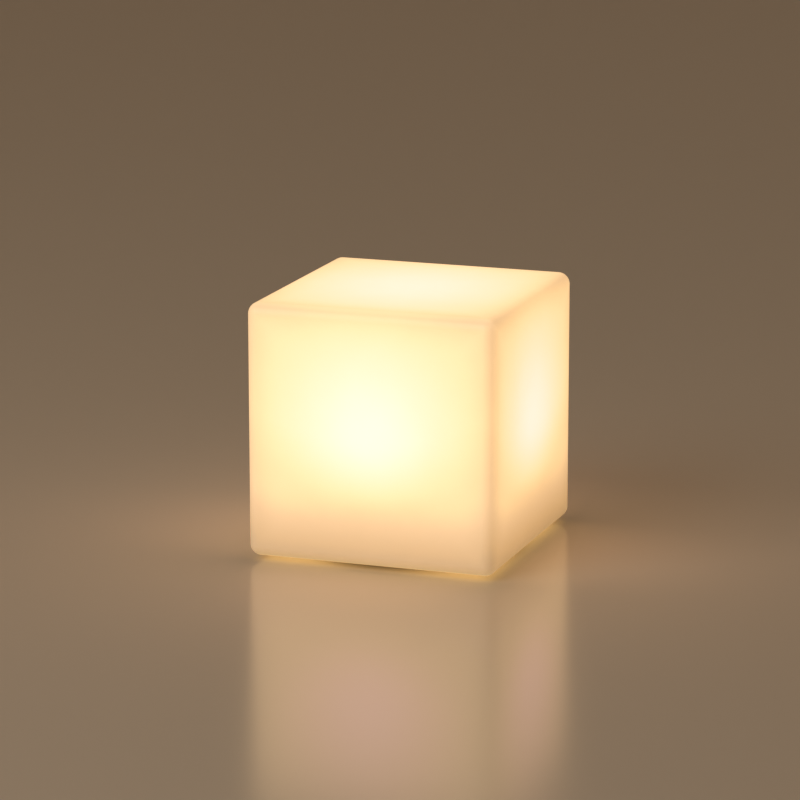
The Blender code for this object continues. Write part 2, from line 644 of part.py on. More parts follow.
def leads(red, black):
    """Two leads from the cells' links to the control board, and two from it up to the LED board."""
    wire("battery_lead_red", [(33.9, 10, 33.5), (36.6, 11.5, 32.5), (38.2, 13.5, 28), (37.9, 14, 23.5),
                              (34.8, 14, 19.6), (30, 13.5, 19.0), (25, 12.5, 19.0)], red)
    wire("battery_lead_black", [(-33.9, -10, 33.5), (-36.6, -11.5, 32.5), (-38.2, -13.5, 28),
                                (-37.9, -14, 23.5), (-34.8, -14, 19.6), (-30, -13.5, 19.0),
                                (-25, -12.5, 19.0)], black)
    for name, mat, shift in (("led_lead_red", red, 1.15), ("led_lead_black", black, -1.15)):
        wire(name, [(-20, 9 + shift, 19.0), (-28, 9.3 + shift, 19.0), (-34.6, 10.5 + shift, 19.6),
                    (-37.9, 11.5 + shift, 23.5), (-38.4, 11.5 + shift, 31), (-35.5, 9.5 + shift, 39.5),
                    (-31, 8 + shift, 43.4), (-29.8, 8 + shift, 46.6), (-28.2, 8 + shift, 48.6),
                    (-25.6, 8 + shift, 48.9)], mat)


# ---------------------------------------------------------------- assembly

clear_scene()
PARTS = new_collection(OBJECT_NAME)
CUTTERS = new_collection(OBJECT_NAME + "_cutters")

milky_shell = material("milky_shell", (0.93, 0.86, 0.72), 0.42)
white_plastic = material("white_plastic", (0.80, 0.79, 0.76), 0.45)
grey_plastic = material("grey_plastic", (0.34, 0.34, 0.35), 0.5)
grey_rubber = material("grey_rubber", (0.10, 0.10, 0.10), 0.8)
silicone = material("silicone", (0.62, 0.64, 0.64), 0.55)
frosted_cover = material("frosted_cover", (0.90, 0.89, 0.84), 0.35, transmission=0.3)
aluminium = material("aluminium", (0.78, 0.79, 0.80), 0.35, metallic=1.0)
white_board = material("white_board", (0.85, 0.85, 0.83), 0.4)
green_board = material("green_board", (0.03, 0.20, 0.08), 0.4)
led_phosphor = material("led_phosphor", (0.93, 0.80, 0.35), 0.35)
steel = material("steel", (0.62, 0.62, 0.62), 0.3, metallic=1.0)
nickel = material("nickel", (0.72, 0.70, 0.66), 0.3, metallic=1.0)
cell_wrap = material("cell_wrap", (0.08, 0.26, 0.50), 0.35)
black_plastic = material("black_plastic", (0.03, 0.03, 0.03), 0.45)
foam = material("foam", (0.12, 0.12, 0.13), 0.95)
red_lead = material("red_lead", (0.55, 0.03, 0.03), 0.4)
black_lead = material("black_lead", (0.02, 0.02, 0.02), 0.4)
clear_pipe = material("clear_pipe", (0.85, 0.88, 0.88), 0.1, transmission=0.8)

outer_shell(milky_shell)
neck_ring(white_plastic)
clamp_ring(white_plastic)
neck_screws(steel)
neck_gasket(silicone)

module_housing(white_plastic)
foot_ring(grey_rubber)
diffuser_dome(frosted_cover)
dome_gasket(silicone)
dome_screws(steel)

drilled_disc("led_tray", TRAY_RADIUS, TRAY_BOTTOM, TRAY_BOTTOM + TRAY_THICKNESS, aluminium)
drilled_disc("led_board", LED_BOARD_RADIUS, LED_BOARD_BOTTOM, LED_BOARD_TOP, white_board)
leds(led_phosphor)
tray_screws(steel)

battery_cradle(black_plastic)
cell("cell_1", CELL_Y, cell_wrap)
cell("cell_2", -CELL_Y, cell_wrap)
cell_link("cell_link_1", 1, nickel)
cell_link("cell_link_2", -1, nickel)
cradle_screws(steel)
foam_pad(foam)

control_board(green_board)
board_screws(steel)
board_parts(black_plastic, grey_plastic)
power_switch(black_plastic, white_plastic)
power_button(grey_plastic, silicone)
charge_jack(black_plastic, nickel)
port_cover(grey_rubber)
status_light(clear_pipe, led_phosphor)
leads(red_lead, black_lead)
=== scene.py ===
"""Looks for the floating LED cube light: a milky plastic cube, lit from inside, on its round light module."""

import json
from math import cos, pi, radians, sin

import bmesh
import bpy
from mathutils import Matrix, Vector


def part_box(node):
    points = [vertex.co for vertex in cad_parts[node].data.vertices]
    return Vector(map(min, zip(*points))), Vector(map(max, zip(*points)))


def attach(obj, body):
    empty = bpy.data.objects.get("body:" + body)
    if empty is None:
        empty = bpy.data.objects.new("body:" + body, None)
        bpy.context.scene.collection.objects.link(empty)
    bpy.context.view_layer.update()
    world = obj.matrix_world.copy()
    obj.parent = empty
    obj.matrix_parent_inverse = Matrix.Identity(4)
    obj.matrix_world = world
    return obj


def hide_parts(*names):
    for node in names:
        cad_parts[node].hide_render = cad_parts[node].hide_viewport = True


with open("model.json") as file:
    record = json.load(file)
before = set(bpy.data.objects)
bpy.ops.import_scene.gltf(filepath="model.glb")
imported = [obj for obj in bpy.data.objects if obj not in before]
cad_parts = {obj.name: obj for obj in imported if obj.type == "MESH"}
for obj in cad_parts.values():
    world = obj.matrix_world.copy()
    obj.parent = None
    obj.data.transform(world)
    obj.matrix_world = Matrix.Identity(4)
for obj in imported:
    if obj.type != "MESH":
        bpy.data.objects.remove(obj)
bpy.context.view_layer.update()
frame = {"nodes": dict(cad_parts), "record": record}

SLOTS = {entry["node"]: entry["material_slot"] for entry in frame["record"]["subparts"]}
MM = 0.001

# Camera: where it stands round the cube, in degrees and metres
VIEW_AZIMUTH = 19.24
VIEW_ELEVATION = 13.60
VIEW_DISTANCE = 3.0236
VIEW_LENS = 173.87
VIEW_SHIFT = (-0.0147, 0.0149)

# Sizes read from the frame
SHELL_LOW, SHELL_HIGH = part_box("outer_shell")
SIDE = SHELL_HIGH.x - SHELL_LOW.x
SHELL_MIDDLE = (SHELL_LOW + SHELL_HIGH) / 2
EDGE_RADIUS = 0.046 * SIDE
WALL = 3.0 * MM
NECK_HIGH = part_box("neck_ring")[1]
RECESS_RADIUS = NECK_HIGH.x + 1.5 * MM
NECK_RADIUS = 57.0 * MM
RECESS_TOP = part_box("clamp_ring")[0].z - 3.3 * MM
DOME_LOW, DOME_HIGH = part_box("diffuser_dome")
LED_CIRCLE = 23.0 * MM
LED_COUNT = 8.0                     # on the circle, besides the one in the middle
NECK_SCREW_RADIUS = 74.5 * MM       # of the circles on which the screws stand
DOME_SCREW_RADIUS = 45.2 * MM
NECK_SCREW_HOLE = 1.6 * MM          # radii of their holes
DOME_SCREW_HOLE = 1.7 * MM
BELOW = -10 * MM                    # where the tools that cut the underside begin

# Finer copies of CAD pieces
SOFT_EDGE = 0.15 * MM               # how far their sharp edges are rounded
SAME_PLACE = 0.002 * MM             # points closer than this are one point
SHORTEST_EDGE = 0.03 * MM
SLIVER = 1e-12                      # square metres
SAME_PLANE = 0.4                    # degrees between faces that are one face

# The shell's glow low down, on its walls, in their bright patches and on top, the share of it that is left
# in the recess underneath, and the shares that its rims and its rounded edges lose
GLOW_FOOT = 0.116
GLOW_WALL = 0.300
GLOW_PATCH = 0.385
GLOW_TOP = 0.375
RECESS_GLOW = 0.24
RIM_LOSS = 0.33
EDGE_LOSS = 0.04
UNDER_TINT = (0.98, 1.16, 1.20)     # the underside's light is a little less orange
GLOW_STRENGTH = 1.75
GLOW_COLORS = ((0.00, (0.00, 0.00, 0.00)), (0.12, (0.52, 0.30, 0.12)), (0.20, (0.71, 0.43, 0.20)),
               (0.27, (0.96, 0.60, 0.27)), (0.34, (1.13, 0.70, 0.34)), (0.42, (1.26, 0.75, 0.42)),
               (0.52, (1.38, 0.79, 0.52)), (0.75, (1.55, 0.88, 0.75)), (1.00, (1.70, 0.94, 1.00)))

# Where the shell's glow changes, in units of the cube's side: heights are from its underside
SCATTER_LOW, SCATTER_HIGH = 0.02, 0.335         # the walls' scattered light grows between these heights
TOP_SCATTER_LOSS = 0.04
HORIZON_LOW, HORIZON_HIGH = 0.21, 0.50          # the lamp's horizon on the middle of a wall
HORIZON_DROP = 0.62                             # how fast it falls towards the wall's upright edges
PATCH_MIDDLE = 0.522                            # above this height the bright patch also dims upwards
PATCH_WIDTH, PATCH_HEIGHT = 0.319, 0.347
CROWN_WIDTH = 0.474                             # of the bright patch on top
RECESS_LIP = 0.03                               # height below which the recess dims the glow
RECESS_INNER, RECESS_OUTER = 0.41, 0.47
RIM_START = 0.33                                # distance from the middle at which the rims begin
ROUND_EDGE = 0.72                               # largest part of the normal, halfway round an edge


# ---------------------------------------------------------------- material tools

class Material:
    """A Principled material whose detail comes from texture nodes in the piece's own space."""

    def __init__(self, name, color, roughness, metallic=0.0):
        self.material = bpy.data.materials.new(name)
        self.material.use_nodes = True
        self.tree = self.material.node_tree
        self.shader = self.tree.nodes["Principled BSDF"]
        self.set("Base Color", (*color, 1.0))
        self.set("Roughness", roughness)
        self.set("Metallic", metallic)
        self.color = color
        self.space = self.node("ShaderNodeTexCoord").outputs["Object"]
        self.height = None

    def set(self, socket, value):
        self.shader.inputs[socket].default_value = value
        return self

    def node(self, kind, **settings):
        made = self.tree.nodes.new(kind)
        for key, value in settings.items():
            setattr(made, key, value)
        return made

    def feed(self, socket, value):
        """A socket takes a link from another socket, or a plain value."""
        if isinstance(value, bpy.types.NodeSocket):
            self.tree.links.new(value, socket)
        elif value is not None:
            socket.default_value = value

    def math(self, operation, a, b=None, c=None, clamp=False):
        made = self.node("ShaderNodeMath", operation=operation, use_clamp=clamp)
        for socket, value in zip(made.inputs, (a, b, c)):
            self.feed(socket, value)
        return made.outputs[0]

    def vector(self, operation, a, b=None, out="Vector"):
        made = self.node("ShaderNodeVectorMath", operation=operation)
        self.feed(made.inputs[0], a)
        self.feed(made.inputs[1], b)
        return made.outputs[out]

    def split(self, vector):
        made = self.node("ShaderNodeSeparateXYZ")
        self.feed(made.inputs[0], vector)
        return made.outputs

    def span(self, value, low, high, to_low=0.0, to_high=1.0, smooth=False):
        made = self.node("ShaderNodeMapRange")
        made.interpolation_type = "SMOOTHSTEP" if smooth else "LINEAR"
        for socket, item in zip(made.inputs, (value, low, high, to_low, to_high)):
            self.feed(socket, item)
        return made.outputs[0]

    def noise(self, size, detail=3.0, roughness=0.5, stretch=None):
        """Noise from 0 to 1 whose lumps are about size metres across."""
        made = self.node("ShaderNodeTexNoise")
        made.inputs["Scale"].default_value = 1.0 / size
        made.inputs["Detail"].default_value = detail
        made.inputs["Roughness"].default_value = roughness
        space = self.space
        if stretch:
            space = self.vector("MULTIPLY", self.space, stretch)
        self.feed(made.inputs["Vector"], space)
        return made.outputs["Fac"]

    def cells(self, size):
        """Distance from the nearest of many scattered points about size metres apart."""
        made = self.node("ShaderNodeTexVoronoi", feature="F1")
        made.inputs["Scale"].default_value = 1.0 / size
        self.feed(made.inputs["Vector"], self.space)
        return made.outputs["Distance"]

    def blend(self, factor, a, b):
        made = self.node("ShaderNodeMix", data_type="RGBA")
        self.feed(made.inputs[0], factor)
        for socket, color in ((made.inputs[6], a), (made.inputs[7], b)):
            self.feed(socket, (*color, 1.0) if isinstance(color, tuple) else color)
        return made.outputs[2]

    def ramp(self, factor, stops):
        made = self.node("ShaderNodeValToRGB")
        elements = made.color_ramp.elements
        while len(elements) < len(stops):
            elements.new(0.5)
        for element, (position, color) in zip(elements, stops):
            element.position = position
            element.color = (*color, 1.0)
        self.feed(made.inputs[0], factor)
        return made.outputs["Color"]

    def square(self, value):
        return self.math("MULTIPLY", value, value)

    def length(self, x, y):
        return self.math("SQRT", self.math("ADD", self.square(x), self.square(y)))

    def paint(self, color_socket):
        self.feed(self.shader.inputs["Base Color"], color_socket)
        return self

    def mottle(self, size, amount, detail=3.0):
        """Slight light and dark clouds in the colour."""
        dark = tuple(channel * (1 - amount) for channel in self.color)
        light = tuple(min(1.0, channel * (1 + amount)) for channel in self.color)
        return self.paint(self.blend(self.noise(size, detail), dark, light))

    def gloss(self, size, low, high, detail=3.0, stretch=None):
        """Roughness that wanders between two values."""
        wander = self.span(self.noise(size, detail, stretch=stretch), 0.3, 0.7, low, high)
        self.feed(self.shader.inputs["Roughness"], wander)
        return self

    def raise_by(self, height, weight=1.0):
        """Adds to the material's relief, in metres."""
        part = self.math("MULTIPLY", height, weight)
        self.height = part if self.height is None else self.math("ADD", self.height, part)
        return self

    def done(self):
        if self.height is not None:
            bump = self.node("ShaderNodeBump")
            bump.inputs["Distance"].default_value = 1.0
            self.feed(bump.inputs["Height"], self.height)
            self.feed(self.shader.inputs["Normal"], bump.outputs["Normal"])
        return self.material


# ---------------------------------------------------------------- materials

def milky_shell():
    """Moulded polyethylene with the light module's glow in it.

    Low down the wall is lit only by light that is scattered round the inside, which dims towards the table.
    Above the lamp each wall has a round bright patch, cut off softly at the lamp's horizon, and the top has
    one of its own. The recess underneath is dim, and the rounded edges hold a little of the light back.
    """
    made = Material("milky_polyethylene", (0.80, 0.76, 0.70), 0.42)
    made.set("IOR", 1.5).set("Coat Weight", 0.25).set("Coat Roughness", 0.34).set("Coat IOR", 1.5)
    made.mottle(0.03, 0.02)
    made.gloss(0.004, 0.38, 0.48)
    made.raise_by(made.noise(2.2 * MM, 2.0), 0.00006)
    made.raise_by(made.noise(0.5 * MM, 2.0), 0.00002)

    # The place on the cube in units of its side: x and y from its upright axis, z from its underside
    low_middle = (SHELL_MIDDLE.x, SHELL_MIDDLE.y, SHELL_LOW.z)
    place = made.vector("DIVIDE", made.vector("SUBTRACT", made.space, low_middle), (SIDE, SIDE, SIDE))
    x, y, z = made.split(made.vector("ABSOLUTE", place))
    # Squares of the distances from the axis and, on a wall, from the wall's upright middle line
    from_axis = made.math("ADD", made.square(x), made.square(y))
    along_wall = made.math("MAXIMUM", made.math("SUBTRACT", from_axis, 0.25), 0.0)
    normal = made.tree.nodes["Texture Coordinate"].outputs["Normal"]
    nz = made.split(normal)[2]
    upright = made.square(nz)
    topward = made.math("MULTIPLY", upright, made.math("GREATER_THAN", nz, 0.0))
    downward = made.math("MULTIPLY", upright, made.math("LESS_THAN", nz, 0.0))

    scattered = made.span(z, SCATTER_LOW, SCATTER_HIGH, GLOW_FOOT, GLOW_WALL, smooth=True)
    horizon = made.math("SUBTRACT", z, made.math("MULTIPLY", along_wall, HORIZON_DROP))
    horizon = made.span(horizon, HORIZON_LOW, HORIZON_HIGH, smooth=True)
    above = made.math("MAXIMUM", made.math("SUBTRACT", z, PATCH_MIDDLE), 0.0)
    across = made.math("DIVIDE", along_wall, PATCH_WIDTH ** 2)
    patch = made.math("ADD", across, made.square(made.math("DIVIDE", above, PATCH_HEIGHT)))
    patch = made.math("EXPONENT", made.math("MULTIPLY", patch, -1.0))
    patch = made.math("MULTIPLY", made.math("MULTIPLY", patch, horizon), GLOW_PATCH)
    patch = made.math("MULTIPLY", patch, made.math("SUBTRACT", 1.0, upright))
    crown = made.math("DIVIDE", from_axis, CROWN_WIDTH ** 2)
    crown = made.math("EXPONENT", made.math("MULTIPLY", crown, -1.0))
    crown = made.math("MULTIPLY", made.math("MULTIPLY", crown, topward), GLOW_TOP)
    scattered = made.math("SUBTRACT", scattered, made.math("MULTIPLY", topward, TOP_SCATTER_LOSS))
    glow = made.math("ADD", scattered, made.math("ADD", patch, crown))
    above_recess = made.math("GREATER_THAN", z, RECESS_LIP)
    in_recess = made.span(from_axis, RECESS_INNER ** 2, RECESS_OUTER ** 2, RECESS_GLOW, 1.0)
    glow = made.math("MULTIPLY", glow, made.math("MAXIMUM", above_recess, in_recess))

    x, y, z = made.split(made.vector("ABSOLUTE", made.vector("SUBTRACT", place, (0.0, 0.0, 0.5))))
    low_two = made.math("MINIMUM", made.math("MAXIMUM", x, y), z)
    middle = made.math("MAXIMUM", made.math("MINIMUM", x, y), low_two)
    rim = made.square(made.span(middle, RIM_START, 0.50))
    glow = made.math("MULTIPLY", glow, made.math("SUBTRACT", 1.0, made.math("MULTIPLY", rim, RIM_LOSS)))
    nx, ny, nz = made.split(made.vector("ABSOLUTE", normal))
    squareness = made.math("MAXIMUM", made.math("MAXIMUM", nx, ny), nz)
    loss = made.span(squareness, 1.0, ROUND_EDGE, 0.0, EDGE_LOSS)
    glow = made.math("MULTIPLY", glow, made.math("SUBTRACT", 1.0, loss))
    patches = made.span(made.noise(0.02, 4.0), 0.3, 0.7, 0.985, 1.015)
    glow = made.math("MULTIPLY", glow, patches)

    stops = [(at, tuple(channel / GLOW_STRENGTH for channel in color)) for at, color in GLOW_COLORS]
    color = made.ramp(glow, stops)
    color = made.blend(downward, color, made.vector("MULTIPLY", color, UNDER_TINT))
    made.feed(made.shader.inputs["Emission Color"], color)
    made.set("Emission Strength", GLOW_STRENGTH)
    return made.done()


def moulded_plastic(name, color, roughness=0.45, spark=0.00002):
    """Injection-moulded plastic: a fine spark-eroded grain, faint flow marks and uneven gloss."""
    made = Material(name, color, roughness)
    made.mottle(0.012, 0.035)
    made.gloss(0.006, roughness - 0.06, roughness + 0.08)
    made.raise_by(made.noise(0.45 * MM, 2.0), spark)
    made.raise_by(made.noise(6 * MM, 1.0), spark * 3)
    return made.done()


def rubber(name, color, roughness=0.75):
    """Moulded rubber: matt, with fine pores and a dusty lighter bloom."""
    made = Material(name, color, roughness)
    dusty = tuple(min(1.0, channel * 1.5 + 0.03) for channel in color)
    made.paint(made.blend(made.span(made.noise(0.009, 5.0), 0.45, 0.75), color, dusty))
    made.gloss(0.003, roughness - 0.08, roughness + 0.1)
    made.raise_by(made.cells(0.7 * MM), 0.00005)
    made.raise_by(made.noise(0.3 * MM), 0.00003)
    return made.done()


def silicone():
    made = Material("silicone", (0.70, 0.72, 0.72), 0.5)
    made.set("Subsurface Weight", 0.15).set("Subsurface Radius", (0.002, 0.002, 0.002))
    made.mottle(0.01, 0.05)
    made.gloss(0.004, 0.42, 0.6)
    made.raise_by(made.noise(1.2 * MM), 0.00004)
    return made.done()


def frosted_dome():
    """Frosted polycarbonate, lit by eight LEDs in a circle and one in the middle that show as soft spots."""
    made = Material("frosted_polycarbonate", (0.93, 0.92, 0.88), 0.34)
    made.set("Coat Weight", 0.4).set("Coat Roughness", 0.3)
    made.mottle(0.01, 0.02)
    made.gloss(0.002, 0.3, 0.42)
    made.raise_by(made.noise(0.35 * MM, 2.0), 0.00002)
    x, y = made.split(made.space)[:2]
    radius = made.length(x, y)
    angle = made.math("ARCTAN2", y, x)
    turn = made.math("SUBTRACT", made.math("MULTIPLY", angle, LED_COUNT), pi)
    around = made.span(made.math("COSINE", turn), -1.0, 1.0, 0.35, 1.0)
    off_circle = made.math("DIVIDE", made.math("SUBTRACT", radius, LED_CIRCLE), 8 * MM)
    circle = made.math("EXPONENT", made.math("MULTIPLY", made.square(off_circle), -1.0))
    off_middle = made.math("DIVIDE", radius, 7.5 * MM)
    middle = made.math("EXPONENT", made.math("MULTIPLY", made.square(off_middle), -1.0))
    spots = made.math("ADD", made.math("MULTIPLY", circle, around), middle)
    fade = made.span(radius, 30 * MM, 47 * MM, 1.0, 0.12, smooth=True)
    glow = made.math("MULTIPLY", made.span(spots, 0.0, 1.0, 0.55, 1.0), fade)
    color = made.ramp(glow, ((0.0, (0.10, 0.04, 0.01)), (0.35, (0.62, 0.36, 0.14)), (0.7, (0.96, 0.70, 0.38)),
                             (1.0, (1.0, 0.88, 0.62))))
    made.feed(made.shader.inputs["Emission Color"], color)
    made.set("Emission Strength", 2.2)
    return made.done()


def brushed_metal(name, color, roughness, grain=(1.0, 1.0, 1.0)):
    """Metal with fine drawn scratches along one direction and a duller, stained patch here and there."""
    made = Material(name, color, roughness, 1.0)
    made.mottle(0.008, 0.06)
    made.gloss(0.8 * MM, roughness - 0.08, roughness + 0.14, 4.0, grain)
    made.raise_by(made.noise(0.25 * MM, 3.0, stretch=grain), 0.000006)
    return made.done()


def circuit_board(name, mask, copper_tint):
    """Solder mask over copper tracks, with vias and a scatter of tinned pads."""
    made = Material(name, mask, 0.35)
    made.set("Coat Weight", 0.5).set("Coat Roughness", 0.15)
    areas = made.node("ShaderNodeTexVoronoi", distance="CHEBYCHEV")
    areas.inputs["Scale"].default_value = 1.0 / (9 * MM)
    made.feed(areas.inputs["Vector"], made.space)
    lengthwise = made.math("GREATER_THAN", made.split(areas.outputs["Color"])[0], 0.5)
    x, y = made.split(made.space)[:2]
    across = made.math("ADD", made.math("MULTIPLY", y, lengthwise),
                       made.math("MULTIPLY", x, made.math("SUBTRACT", 1.0, lengthwise)))
    pitch = made.math("FRACT", made.math("DIVIDE", across, 1.4 * MM))
    tracks = made.span(made.math("ABSOLUTE", made.math("SUBTRACT", pitch, 0.5)), 0.16, 0.20, 1.0, 0.0)
    vias = made.span(made.cells(4.5 * MM), 0.10, 0.13, 1.0, 0.0)
    base = made.blend(made.math("MULTIPLY", tracks, 0.7), mask, copper_tint)
    made.paint(made.blend(vias, base, (0.78, 0.76, 0.70)))
    made.raise_by(tracks, 0.00003)
    made.raise_by(made.noise(1.5 * MM), 0.00001)
    return made.done()


def led_package():
    """A white LED package; its round well is filled with yellow phosphor that glows."""
    made = Material("led_package", (0.86, 0.85, 0.80), 0.3)
    made.raise_by(made.noise(0.3 * MM), 0.00001)
    x, y = made.split(made.space)[:2]
    share = 2 * pi / LED_COUNT
    sector = made.math("FLOOR", made.math("DIVIDE", made.math("ARCTAN2", y, x), share))
    turn = made.math("MULTIPLY_ADD", sector, share, share / 2)
    on_circle = made.math("GREATER_THAN", made.length(x, y), LED_CIRCLE / 2)
    arm = made.math("MULTIPLY", on_circle, LED_CIRCLE)
    off_x = made.math("SUBTRACT", x, made.math("MULTIPLY", arm, made.math("COSINE", turn)))
    off_y = made.math("SUBTRACT", y, made.math("MULTIPLY", arm, made.math("SINE", turn)))
    well = 2.0 * MM
    phosphor = made.span(made.length(off_x, off_y), well - 0.15 * MM, well, 1.0, 0.0)
    grains = made.blend(made.noise(0.25 * MM), (0.85, 0.62, 0.10), (0.95, 0.78, 0.25))
    made.paint(made.blend(phosphor, made.color, grains))
    dark = (0.0, 0.0, 0.0)
    made.feed(made.shader.inputs["Emission Color"], made.blend(phosphor, dark, (1.0, 0.80, 0.45)))
    made.set("Emission Strength", 2.5)
    return made.done()


def cell_wrap():
    """Blue shrink sleeve: glossy, with faint lengthwise pulls."""
    made = Material("cell_wrap", (0.05, 0.20, 0.46), 0.28)
    made.set("Coat Weight", 0.6).set("Coat Roughness", 0.12)
    pulls = made.noise(2.5 * MM, 3.0, stretch=(0.12, 1.0, 1.0))
    made.paint(made.blend(pulls, (0.035, 0.15, 0.38), (0.07, 0.26, 0.56)))
    made.gloss(0.005, 0.2, 0.36)
    made.raise_by(pulls, 0.00004)
    return made.done()


def foam():
    made = Material("foam", (0.11, 0.11, 0.12), 0.95)
    pores = made.cells(0.9 * MM)
    # The pores' hollows are painted darker than the foam around them: painted shade
    made.paint(made.blend(made.span(pores, 0.0, 0.6), (0.05, 0.05, 0.055), (0.17, 0.17, 0.18)))
    made.raise_by(pores, 0.0002)
    return made.done()


def clear_acrylic():
    made = Material("clear_acrylic", (0.90, 0.94, 0.94), 0.1)
    made.set("Transmission Weight", 0.85).set("IOR", 1.49)
    made.gloss(0.001, 0.05, 0.16)
    made.raise_by(made.noise(0.8 * MM), 0.00001)
    return made.done()


def slot_materials():
    """One material for each of the record's material slots."""
    insulation = dict(roughness=0.38, spark=0.00001)
    return {
        "milky_shell": milky_shell(),
        "white_plastic": moulded_plastic("white_abs", (0.78, 0.77, 0.74)),
        "grey_plastic": moulded_plastic("grey_abs", (0.30, 0.30, 0.31), 0.5),
        "black_plastic": moulded_plastic("black_nylon", (0.025, 0.025, 0.027), 0.48),
        "grey_rubber": rubber("grey_rubber", (0.075, 0.075, 0.078)),
        "silicone": silicone(),
        "frosted_cover": frosted_dome(),
        "aluminium": brushed_metal("drawn_aluminium", (0.80, 0.81, 0.82), 0.32, (0.08, 1.0, 1.0)),
        "steel": brushed_metal("stainless_steel", (0.60, 0.59, 0.57), 0.28),
        "nickel": brushed_metal("nickel", (0.72, 0.69, 0.63), 0.25, (1.0, 0.15, 1.0)),
        "white_board": circuit_board("white_board", (0.84, 0.84, 0.82), (0.74, 0.73, 0.68)),
        "green_board": circuit_board("green_board", (0.02, 0.17, 0.07), (0.05, 0.28, 0.11)),
        "led_package": led_package(),
        "cell_wrap": cell_wrap(),
        "foam": foam(),
        "red_lead": moulded_plastic("red_insulation", (0.50, 0.02, 0.02), **insulation),
        "black_lead": moulded_plastic("black_insulation", (0.018, 0.018, 0.02), **insulation),
        "clear_pipe": clear_acrylic(),
    }


# ---------------------------------------------------------------- mesh tools

def new_object(name, bm, mat=None):
    """An object made from the bmesh, which is freed."""
    mesh = bpy.data.meshes.new(name)
    bm.to_mesh(mesh)
    bm.free()
    obj = bpy.data.objects.new(name, mesh)
    bpy.context.scene.collection.objects.link(obj)
    if mat:
        mesh.materials.append(mat)
    return obj


def evaluated(obj):
    """The object with its modifiers applied, up to date."""
    bpy.context.view_layer.update()
    return obj.evaluated_get(bpy.context.evaluated_depsgraph_get())


def rounded_box(name, low, high, radius, segments, mat=None):
    bm = bmesh.new()
    bmesh.ops.create_cube(bm, size=1.0)
    bmesh.ops.scale(bm, vec=high - low, verts=bm.verts)
    bmesh.ops.translate(bm, vec=(low + high) / 2, verts=bm.verts)
    bmesh.ops.bevel(bm, geom=bm.edges[:], offset=radius, offset_type="OFFSET", segments=segments,
                    profile=0.5, affect="EDGES")
    return new_object(name, bm, mat)


def drum(name, radius, bottom, top, sides=160):
    bm = bmesh.new()
    bmesh.ops.create_cone(bm, cap_ends=True, segments=sides, radius1=radius, radius2=radius,
                          depth=top - bottom)
    bmesh.ops.translate(bm, vec=(0, 0, (bottom + top) / 2), verts=bm.verts)
    return new_object(name, bm)


def carve(obj, *tools):
    """Cuts the tools out of the object, removes them and merges points that the cuts leave side by side."""
    for tool in tools:
        cut = obj.modifiers.new(tool.name, "BOOLEAN")
        cut.operation = "DIFFERENCE"
        cut.solver = "EXACT"
        cut.object = tool
    shape = bpy.data.meshes.new_from_object(evaluated(obj))
    obj.modifiers.clear()
    obj.data = shape
    for tool in tools:
        bpy.data.objects.remove(tool, do_unlink=True)
    bm = bmesh.new()
    bm.from_mesh(obj.data)
    bmesh.ops.remove_doubles(bm, verts=bm.verts, dist=SAME_PLACE)
    bmesh.ops.dissolve_degenerate(bm, edges=bm.edges, dist=SAME_PLACE)
    bm.to_mesh(obj.data)
    bm.free()


def add_weld(obj, name):
    obj.modifiers.new(name, "WELD").merge_threshold = SAME_PLACE


def even_normals(obj):
    """Big flat faces stay flat up to their rounded edges."""
    even = obj.modifiers.new("Even", "WEIGHTED_NORMAL")
    even.keep_sharp = True
    even.weight = 100


def shade(obj):
    """Smooth shading that keeps creases."""
    obj.data.shade_smooth()
    obj.data.set_sharp_from_angle(angle=radians(30))
    even_normals(obj)


def turned(name, profile, sides, mat):
    """A line of (radius, height) points turned about the cube's upright axis."""
    bm = bmesh.new()
    turns = [2 * pi * step / sides for step in range(sides)]
    rings = [[bm.verts.new((r * cos(turn), r * sin(turn), z)) for turn in turns] for r, z in profile]
    for ring, following in zip(rings, rings[1:]):
        for step in range(sides):
            after = (step + 1) % sides
            bm.faces.new((ring[step], ring[after], following[after], following[step]))
    bmesh.ops.remove_doubles(bm, verts=bm.verts, dist=SAME_PLACE)
    bmesh.ops.recalc_face_normals(bm, faces=bm.faces)
    return new_object(name, bm, mat)


# ---------------------------------------------------------------- pieces

def corner_direction(quarter):
    """The way from the upright axis to one of the four screws of a ring, over the cube's upright edges."""
    angle = radians(45 + 90 * quarter)
    return Vector((cos(angle), sin(angle), 0))


def make_shell(mat):
    """The cube's moulded skin, with its round recess and the neck's hole underneath."""
    inset = Vector((WALL, WALL, WALL))
    shell = rounded_box("cube_shell", SHELL_LOW, SHELL_HIGH, EDGE_RADIUS, 14, mat)
    cavity = rounded_box("cavity", SHELL_LOW + inset, SHELL_HIGH - inset, EDGE_RADIUS - WALL, 8)
    carve(cavity, drum("recess_wall", RECESS_RADIUS + WALL, BELOW, RECESS_TOP + WALL))
    tools = [cavity, drum("recess", RECESS_RADIUS, BELOW, RECESS_TOP),
             drum("neck_hole", NECK_RADIUS, BELOW, RECESS_TOP + 2 * WALL)]
    for quarter in range(4):
        hole = drum(f"screw_hole_{quarter}", NECK_SCREW_HOLE, RECESS_TOP - MM, RECESS_TOP + 2 * WALL, 24)
        hole.location = NECK_SCREW_RADIUS * corner_direction(quarter)
        tools.append(hole)
    carve(shell, *tools)
    shade(shell)
    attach(shell, "shell")
    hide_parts("outer_shell")
    return shell


